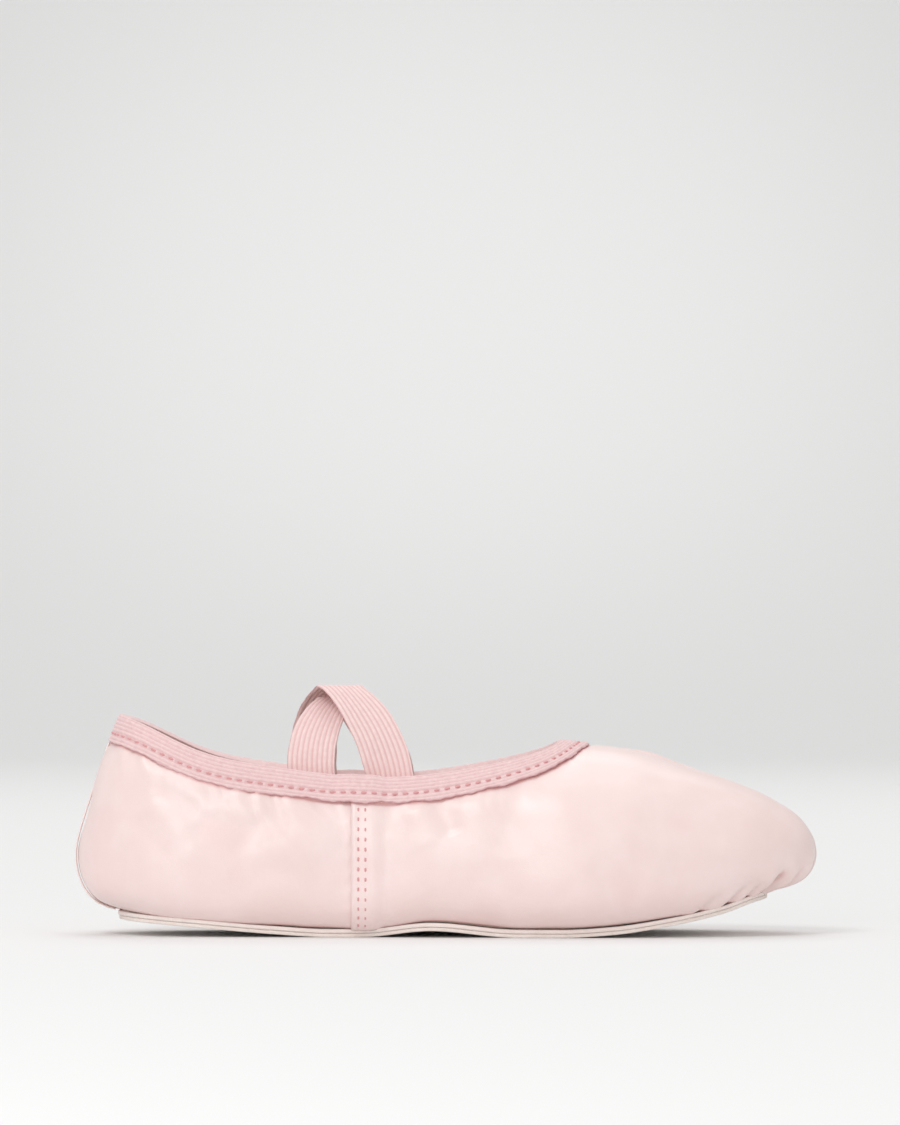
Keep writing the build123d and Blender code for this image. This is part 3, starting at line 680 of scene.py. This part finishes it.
def make_binding():
    fan = Fan(np.linspace(HEEL + 0.4, HEEL_AGAIN - 0.4, steps(900)))
    lift = lap_lift(fan.angles)[:, None]
    mid = fan.below_top(np.full((1, 1), 5.0), 0.0)
    run = np.concatenate([[0.0], np.cumsum(np.linalg.norm(np.diff(mid[:, 0], axis=0), axis=1))])[:, None]
    edge = 0.22 * waves(run, 0 * run, 9, 31) + 0.10 * np.sin(2 * math.pi * run / BINDING_STITCH)
    depth = BINDING_DEPTH + edge
    outer_drop = np.linspace(1, 0, 56)[None, :] * depth
    tuft = 0.05 * waves(run, outer_drop * 2.0, 2.2, 32)
    near_row = np.exp(-(((outer_drop - BINDING_ROW_DROP) / 0.7) ** 2))
    stitch_pull = 1 - 0.35 * near_row * np.cos(math.pi * run / BINDING_STITCH) ** 2
    outer_off = lift + 0.06 + binding_outside(outer_drop) * stitch_pull + tuft
    outer_off = outer_off - 0.25 * np.exp(-((outer_drop / 0.35) ** 2))
    top = np.linspace(0, 1, 9)[None, 1:-1]
    crest = -0.12 * np.sin(math.pi * top) - 0.04 * waves(run, top * 3, 3, 33)
    top_off = (lift + BINDING - 0.25) * (1 - top) + (BINDING_INSIDE + 0.2) * top
    inner_drop = np.linspace(0, 1, 26)[None, :] * (depth - 0.4)
    inner_off = BINDING_INSIDE + 0.1 - 0.07 * np.cos(2 * math.pi * inner_drop / BINDING_RIB) + 0 * run
    hollow = np.linspace(1, 0, 8)[None, :]
    back_in = BINDING_INNER + 0.05 + 0 * hollow + 0 * run
    back_out = lift + 0.04 + 0 * hollow
    drops = np.concatenate([
        outer_drop, np.broadcast_to(crest, (len(run), crest.shape[-1])), inner_drop,
        BINDING + 0.05 + hollow * (depth - BINDING - 0.5),
        BINDING + 0.05 + hollow[:, ::-1] * (depth - BINDING - 0.15),
    ], axis=1)
    offs = np.concatenate([outer_off, top_off, inner_off, back_in, back_out], axis=1)
    sections = fan.below_top(drops, offs)
    # Painted shade in the grooves between the ribs, along the sewn row between stitches and under the free
    # lip
    painted_shade = smooth(-np.cos(2 * math.pi * drops / BINDING_RIB) * 0.9) * 0.34 * (drops > 0.5)
    between = np.cos(math.pi * run / BINDING_STITCH) ** 2 > 0.6
    painted_shade += 0.5 * np.exp(-(((drops - BINDING_ROW_DROP) / 0.35) ** 2)) * between
    painted_shade += 0.75 * smooth((drops - depth + 0.55) / 0.5)
    painted_shade = np.clip(painted_shade, 0, 1)
    strip = tube_strip("binding_elastic_strip", sections, BINDING_LOOK, painted_shade=painted_shade)
    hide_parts("topline_binding")


make_binding()


# ---- Stitches
def capsule_rows(name, rows, radius, share, pitch, node):
    """Separate lockstitches along rows of (points, outs). share of each pitch is thread."""
    points, faces = [], []
    ring, turns = 6, 8
    for line, outs in rows:
        line = np.asarray(line)
        lengths = np.concatenate([[0.0], np.cumsum(np.linalg.norm(np.diff(line, axis=0), axis=1))])
        count = max(1, int(round(lengths[-1] / pitch)))
        for k in range(count):
            a, b = (k + (1 - share) / 2) * pitch, (k + (1 + share) / 2) * pitch
            a, b = a * lengths[-1] / (count * pitch), b * lengths[-1] / (count * pitch)
            ends = [np.array([np.interp(s, lengths, line[:, c]) for c in range(3)]) for s in (a, b)]
            middle = (a + b) / 2
            out = np.array([np.interp(middle, lengths, np.asarray(outs)[:, c]) for c in range(3)])
            run = ends[1] - ends[0]
            length = np.linalg.norm(run)
            run = run / length
            out = out - run * (out @ run)
            out /= np.linalg.norm(out)
            side = np.cross(run, out)
            turn = RNG.uniform(-0.06, 0.06)
            cos, sin = math.cos(turn), math.sin(turn)
            run, side = run * cos + side * sin, side * cos - run * sin
            first = len(points)
            for j in range(ring + 1):
                t = j / ring
                fat = radius * max(0.12, math.sqrt(max(0.0, 1 - (2 * t - 1) ** 4)))
                dip = -0.28 * (2 * t - 1) ** 4
                centre = (ends[0] + ends[1]) / 2 + run * length * (t - 0.5) + out * dip
                for q in range(turns):
                    w = 2 * math.pi * q / turns
                    points.append(centre + side * fat * math.cos(w) + out * fat * math.sin(w) * 0.8)
            faces += [tuple(f) for f in grid_faces(ring + 1, turns, first, closed_m=True)]
            faces.append(tuple(first + q for q in range(turns)))
            faces.append(tuple(first + ring * turns + q for q in range(turns - 1, -1, -1)))
    obj = add_mesh(name, fit(points), faces, THREAD)
    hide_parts(node)


def row_on_fan(angles, drop, offset):
    fan = Fan(angles)
    drop = np.full((1, 1), drop)
    p, q = fan.below_top(drop, offset), fan.below_top(drop, offset + 1.0)
    return p[:, 0], (q - p)[:, 0]


edge_angles = np.linspace(1.5, 358.5, 500)
edge_row = row_on_fan(edge_angles, BINDING_ROW_DROP, (lap_lift(edge_angles) + BINDING - 0.18)[:, None])
capsule_rows("binding_stitches", [edge_row], 0.33, 0.62, BINDING_STITCH, "binding_thread")


def seam_rows(seam, way):
    rows = []
    for row in SEAM_ROWS:
        fan = Fan([seam + way * LAP_DEGREES * row / LAP_WIDTH])
        arc = np.linspace(2.2, fan.length[0] - BINDING_DEPTH - 0.6, 60)[None, :]
        angle = fan.angles[:, None] + 0 * arc
        relief = upper_relief(fan.points(arc, 0.0), angle, arc, fan.length[:, None])
        lift = lap_lift(fan.angles)[:, None] + relief + 0.06
        p, q = fan.points(arc, lift), fan.points(arc, lift + 1.0)
        rows.append((p[0], (q - p)[0]))
    return rows


for side, seam, way in (("right", RIGHT_SEAM, 1), ("left", LEFT_SEAM, -1)):
    rows = seam_rows(seam, way)
    capsule_rows(f"side_seam_stitches_{side}", rows, 0.34, 0.5, SEAM_STITCH, f"side_seam_thread_{side}")


# ---- Back seam
def make_piping():
    fan = Fan([HEEL])
    arc = np.linspace(2.2, fan.length[0] - BINDING_DEPTH + 0.4, steps(120))
    base = fan.points(arc[None, :], 0.0)[0]
    out = fan.points(arc[None, :], 1.0)[0] - base
    turn = np.linspace(0, 2 * math.pi, 15)[:-1]
    wobble = 0.10 * waves(arc, 0 * arc, 7, 41)
    rings = []
    for p, n, w, s in zip(base, out, wobble, arc):
        high = 0.62 + 0.08 * math.sin(s * 1.7)
        half = 0.85 * (1 + 0.3 * w)
        rings.append([
            p + n * (0.05 + high * (math.sin(t) * 0.5 + 0.5)) + np.array([0, half * math.cos(t), 0])
            for t in turn
        ])
    strip = tube_strip("back_seam_strip", np.array(rings), PIPING)
    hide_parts("back_seam_piping")


make_piping()


def make_tape():
    fan = Fan(np.linspace(-TAPE_HALF_DEGREES, TAPE_HALF_DEGREES, steps(40)))
    low, high = TAPE_START, fan.length - BINDING_DEPTH - LAYER_GAP
    arc = low + (high - low)[:, None] * np.linspace(0, 1, steps(60))
    face = LINING_INNER - LAYER_GAP
    outer = fan.points(arc, face + 0 * arc)
    inner = fan.points(arc, face - TAPE_THICK - 0.03 * waves(fan.angles[:, None], arc, 6, 45))
    tape = thick_sheet("heel_tape", outer, inner, LINING_LOOK)
    flat, area = sheet_cut(outer)
    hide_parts("back_seam_tape")


make_tape()


# ---- Sole layers
def plan_outline(inset, count):
    fan = Fan(np.linspace(HEEL, HEEL_AGAIN, count + 1)[:-1])
    edge = fan.points(np.zeros((1, 1)), 0.0)[:, 0, :2]
    run = np.roll(edge, -1, axis=0) - np.roll(edge, 1, axis=0)
    inward = np.stack([-run[:, 1], run[:, 0]], 1)
    return edge + inward / np.linalg.norm(inward, axis=1)[:, None] * inset


def make_layer(name, node, inset, low, high, material, ragged, roundness, pillow=0.0):
    """A flat layer between two heights over the sole line, with a frayed, rounded edge."""
    edge = plan_outline(inset, steps(480))
    spine_x = np.clip(edge[:, 0], edge[:, 0].min() + 26, edge[:, 0].max() - 26)
    spine = np.stack([spine_x, 0 * spine_x], 1)
    around = np.concatenate([[0.0], np.cumsum(np.linalg.norm(np.diff(edge, axis=0), axis=1))])
    fray = ragged * (0.5 * waves(around, 0 * around, 2.6, 51) + 0.5 * waves(around, 0 * around, 9, 52))
    thick = high - low
    rings = []
    inner_shares = [0.0, 0.12, 0.3, 0.5, 0.7, 0.85, 0.94, 0.975]

    def ring(share, inward, z_lift, spread):
        plan = spine + (edge - spine) * share
        away = edge - spine
        away = away / np.linalg.norm(away, axis=1)[:, None]
        plan = plan - away * inward + away * (fray[:, None] * spread)
        bulge = pillow * (1 - share**4) * (0.6 + 0.4 * waves(plan[:, 0], plan[:, 1], 18, 55))
        z = sole_bottom(plan[:, 0]) + z_lift + bulge * (z_lift > low + thick / 2)
        return np.concatenate([plan, z[:, None]], 1)

    for share in inner_shares:
        rings.append(ring(share, 0.0, low, 0.0))
    for t in np.linspace(math.pi / 2, 0, 5):
        rings.append(ring(1.0, roundness * (1 - math.cos(t)), low + roundness * (1 - math.sin(t)), 1.0))
    for t in np.linspace(0, math.pi / 2, 5):
        rings.append(ring(1.0, roundness * (1 - math.cos(t)), high - roundness * (1 - math.sin(t)), 0.7))
    for share in inner_shares[::-1]:
        rings.append(ring(share, 0.0, high, 0.0))
    grid = np.array(rings)
    n, m = grid.shape[:2]
    faces = [tuple(f) for f in grid_faces(n, m, closed_m=True, flip=True)]
    obj = add_mesh(name, fit(grid.reshape(-1, 3)), faces, material)
    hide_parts(node)
    return obj


midsole_low = SOLE_LAYER + SOLE_GAP
foam_low = SOLE_THICKNESS + LAYER_GAP
sock_low = foam_low + FOAM_THICK + LAYER_GAP
inset = -LINING_INNER + INSOLE_CLEARANCE
make_layer(
    "outsole_suede_sheet", "outsole", OUTSOLE_INSET - SOLE_RIM, 0.0, SOLE_LAYER,
    SUEDE, 0.18, 0.4,
)
make_layer(
    "midsole_sheet", "midsole", -SOLE_RIM, midsole_low, SOLE_THICKNESS,
    BOARD, 0.12, 0.4,
)
foam = make_layer(
    "insole_foam_pad", "insole_foam", inset, foam_low, foam_low + FOAM_THICK,
    FOAM, 0.03, 0.3,
)
make_layer(
    "sock_cloth", "sock_liner", inset, sock_low, sock_low + SOCK_THICK,
    SOCK_LOOK, 0.05, 0.12, 0.25,
)


# ---- Straps
def strap_anchor(side, fore):
    """Fan angle and place where a strap leaves its sewn end. side -1 is the right."""
    reach = LAP_DEGREES / LAP_WIDTH * STRAP_SPREAD / 2 * fore
    angle = RIGHT_SEAM + reach if side < 0 else LEFT_SEAM - reach
    return angle, Fan([angle]).below_top(np.zeros((1, 1)), STRAP_OFFSET)[0, 0]


def strap_arch(right, left, over):
    """Half the span and the arch's centre line, by tilt from the crest."""
    height = STRAP_RISE + (STRAP_CLEARANCE if over else 0.0)
    fullness = OVER_FULLNESS if over else UNDER_FULLNESS
    half = (left - right) / 2

    def centre(tilt):
        side, up = math.sin(math.radians(tilt)), math.cos(math.radians(tilt))
        bend = math.copysign(abs(side) ** STRAP_BEND, side)
        fat = math.copysign(abs(side) ** fullness, side)
        run = np.array([half[0] * bend - STRAP_LEAN * up, half[1] * fat, height * up])
        return (right + left) / 2 + run

    return half, centre


def wall_run(angle):
    p = Fan([angle - 0.5, angle + 0.5]).below_top(np.zeros((1, 1)), STRAP_OFFSET)[:, 0]
    run = (p[1] - p[0]) / np.linalg.norm(p[1] - p[0])
    return run if run[0] > 0 else -run


def unit(v):
    return v / np.linalg.norm(v)


def make_strap(name, over):
    fore = 1 if over else -1
    (right_angle, right), (left_angle, left) = strap_anchor(-1, fore), strap_anchor(1, -fore)
    half, centre = strap_arch(right, left, over)
    crest = unit(np.array([half[1], -half[0], 0.0]))
    walls = {-1: wall_run(right_angle), 1: wall_run(left_angle)}
    frames = []
    for angle in (right_angle, left_angle):
        fan = Fan([angle - 0.5, angle, angle + 0.5])
        drops = np.linspace(STRAP_END_LENGTH, 1.2, steps(20))[None, :]
        p = fan.below_top(drops, STRAP_OFFSET + 0 * drops)
        q = fan.below_top(drops, STRAP_OFFSET + 1.0 + 0 * drops)
        part = []
        for k in range(drops.shape[1]):
            width = unit(p[2, k] - p[0, k])
            width = width if width[0] > 0 else -width
            part.append((p[1, k], width, unit(q[1, k] - p[1, k])))
        frames.append(part)
    arch = []
    for tilt in np.linspace(-88.0, 88.0, steps(120)):
        tangent = unit(centre(tilt + 0.5) - centre(tilt - 0.5))
        swing, rise = math.sin(math.radians(tilt)), math.cos(math.radians(tilt))
        width = unit(walls[1 if tilt > 0 else -1] * swing**2 + crest * rise)
        facing = unit(np.cross(width, tangent))
        arch.append((centre(tilt), unit(np.cross(tangent, facing)), facing))
    # The arch faces out, as its sewn ends do
    path = frames[0] + arch + frames[1][::-1]
    sign = -1.0 if path[len(path) // 2][2][2] < 0 else 1.0
    arch = [(c, w, f * sign) for c, w, f in arch]
    path = frames[0] + arch + frames[1][::-1]
    # The join between the sewn end and the arch bends softly
    c, w, f = (np.array([p[k] for p in path]) for k in range(3))
    for _ in range(10):
        for line in (c, w, f):
            line[1:-1] = 0.25 * line[:-2] + 0.5 * line[1:-1] + 0.25 * line[2:]
    length = np.concatenate([[0.0], np.cumsum(np.linalg.norm(np.diff(c, axis=0), axis=1))])
    c, w, f = c[:, None, :], w[:, None, :], f[:, None, :]
    across = np.linspace(-1, 1, 81)
    ribs = 0.16 * np.cos(math.pi * STRAP_RIBS * (across + 1) + math.pi)
    soft = 1 - smooth((np.abs(across) - 0.965) / 0.035) * 0.75
    half_thick = (STRAP_THICK / 2 - 0.14 + ribs) * soft
    edge = 1 + 0.006 * waves(length, 0 * length, 5, 61 if over else 62)
    wave = 0.10 * waves(length, 0 * length, 16, 63 if over else 64)
    spread = (across[None, :] * STRAP_WIDTH / 2 * edge[:, None])[..., None]
    nap = 0.03 * waves(length[:, None], across[None, :] * 7.5, 1.6, 65)
    cup = wave[:, None] * (1 - across[None, :] ** 2)
    front = c + w * spread + f * (half_thick[None, :] + nap + cup)[..., None]
    back = c + w * spread - f * (half_thick[None, :] + nap - cup)[..., None]
    sections = np.concatenate([front, back[:, ::-1]], axis=1)
    # Painted shade in the grooves between the ribs
    groove_shade = smooth(-np.cos(math.pi * STRAP_RIBS * (across + 1) + math.pi) * 1.1) * 0.6
    painted_shade = np.tile(np.concatenate([groove_shade, groove_shade[::-1]]), (len(length), 1))
    strip = tube_strip(name + "_webbing", sections, STRAP_LOOK, body=False, painted_shade=painted_shade)
    # The strap is left off the slipper's body. A stretch from 1 mm below its lower sewn end to 8 mm above
    # that is worked out and not used
    low, far = fit([right, left])
    low[2] = min(low[2], far[2]) - 0.001
    high = low.copy()
    high[2] += 0.008
    list(low)
    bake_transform(strip)
    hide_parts(name, name + "_ends")


make_strap("strap_over", True)
make_strap("strap_under", False)


def tack_rows(over):
    rows = []
    fore = 1 if over else -1
    for side, way in ((-1, fore), (1, -fore)):
        angle, _ = strap_anchor(side, way)
        reach = LAP_DEGREES / LAP_WIDTH * (STRAP_WIDTH / 2 - TACK_MARGIN)
        around = np.linspace(angle - reach, angle + reach, 20)
        line, outs = row_on_fan(around, TACK_DROP, STRAP_OFFSET - STRAP_THICK / 2 - 0.05)
        rows.append((line, -outs))
    return rows


capsule_rows("strap_over_stitches", tack_rows(True), 0.25, 0.6, TACK_STITCH, "strap_over_thread")
capsule_rows("strap_under_stitches", tack_rows(False), 0.25, 0.6, TACK_STITCH, "strap_under_thread")


# ---- Floor, light and camera
def stage_floor(reach=4.0, bend_start=2.2, bend=1.2):
    """A floor that bends up into a wall, metres, far enough back to leave room for views from there."""
    turn = np.linspace(0.1, math.pi / 2, 12)
    depth = [-reach, 0.0, bend_start, *(bend_start + bend * np.sin(turn)), bend_start + bend]
    height = [0.0, 0.0, 0.0, *(bend * (1 - np.cos(turn))), reach]
    points = [(x, d, h) for x in (-reach, reach) for d, h in zip(depth, height)]
    faces = grid_faces(2, len(depth))
    mesh = bpy.data.meshes.new("floor")
    mesh.from_pydata(points, [], [tuple(int(k) for k in f) for f in faces])
    mesh.shade_smooth()
    floor = bpy.data.objects.new("floor", mesh)
    bpy.context.scene.collection.objects.link(floor)
    look = Look("floor", (238, 238, 238), 0.8, Specular_IOR_Level=0.15)
    mesh.materials.append(look.material)


def area_light(name, place, aim, size, power):
    data = bpy.data.lights.new(name, "AREA")
    data.shape, data.size, data.size_y = "RECTANGLE", *size
    data.energy = power
    light = bpy.data.objects.new(name, data)
    light.location = place
    to = np.array(aim) - np.array(place)
    yaw, pitch = math.atan2(to[1], to[0]), math.atan2(to[2], math.hypot(to[0], to[1]))
    light.rotation_euler = (math.pi / 2 + pitch, 0, yaw - math.pi / 2)
    bpy.context.scene.collection.objects.link(light)


def wall_glow(place, aim, power):
    """A soft round pool of light on the wall behind the slipper."""
    data = bpy.data.lights.new("wall_glow", "SPOT")
    data.energy, data.spot_size, data.spot_blend = power, 0.26, 1.0
    data.shadow_soft_size = 0.2
    light = bpy.data.objects.new("wall_glow", data)
    light.location = place
    light.rotation_euler = (math.atan2(aim[1] - place[1], place[2] - aim[2]), 0, 0)
    bpy.context.scene.collection.objects.link(light)


stage_floor()
world = bpy.data.worlds.new("studio")
world.use_nodes = True
background = world.node_tree.nodes["Background"]
background.inputs["Color"].default_value = (1.0, 0.996, 0.988, 1.0)
background.inputs["Strength"].default_value = 0.645
bpy.context.scene.world = world
area_light("key", (-0.7, -1.1, 1.5), (0, 0, 0.03), (0.7, 0.6), 8.5)
area_light("fill", (1.3, -1.0, 0.9), (0, 0, 0.03), (0.8, 0.8), 0.4)
area_light("front", (-0.45, -1.7, 0.45), (-0.02, 0, 0.03), (0.6, 0.5), 4.2)
area_light("top", (0.1, 0.2, 1.7), (0, 0, 0.0), (1.4, 1.0), 4.6)
area_light("back", (0, 1.4, 1.6), (0, 1.41, 0.0), (1.4, 0.8), 7.0)
wall_glow((0.0, -0.6, 1.3), (0.0, 3.4, 0.2), 110.0)

# A level view of the right side, which frames this height of the scene
VIEW_DISTANCE = 2.5
VIEW_HEIGHT = 0.35775
camera_data = bpy.data.cameras.new("camera")
camera_data.lens = 36.0 * VIEW_DISTANCE / VIEW_HEIGHT
camera_data.clip_end = 20.0
camera = bpy.data.objects.new("camera", camera_data)
camera.location = (0.0011, -VIEW_DISTANCE, 0.1180)
camera.rotation_euler = (math.pi / 2, 0, 0)
bpy.context.scene.collection.objects.link(camera)
bpy.context.scene.camera = camera
bpy.context.scene.view_settings.view_transform = "Standard"
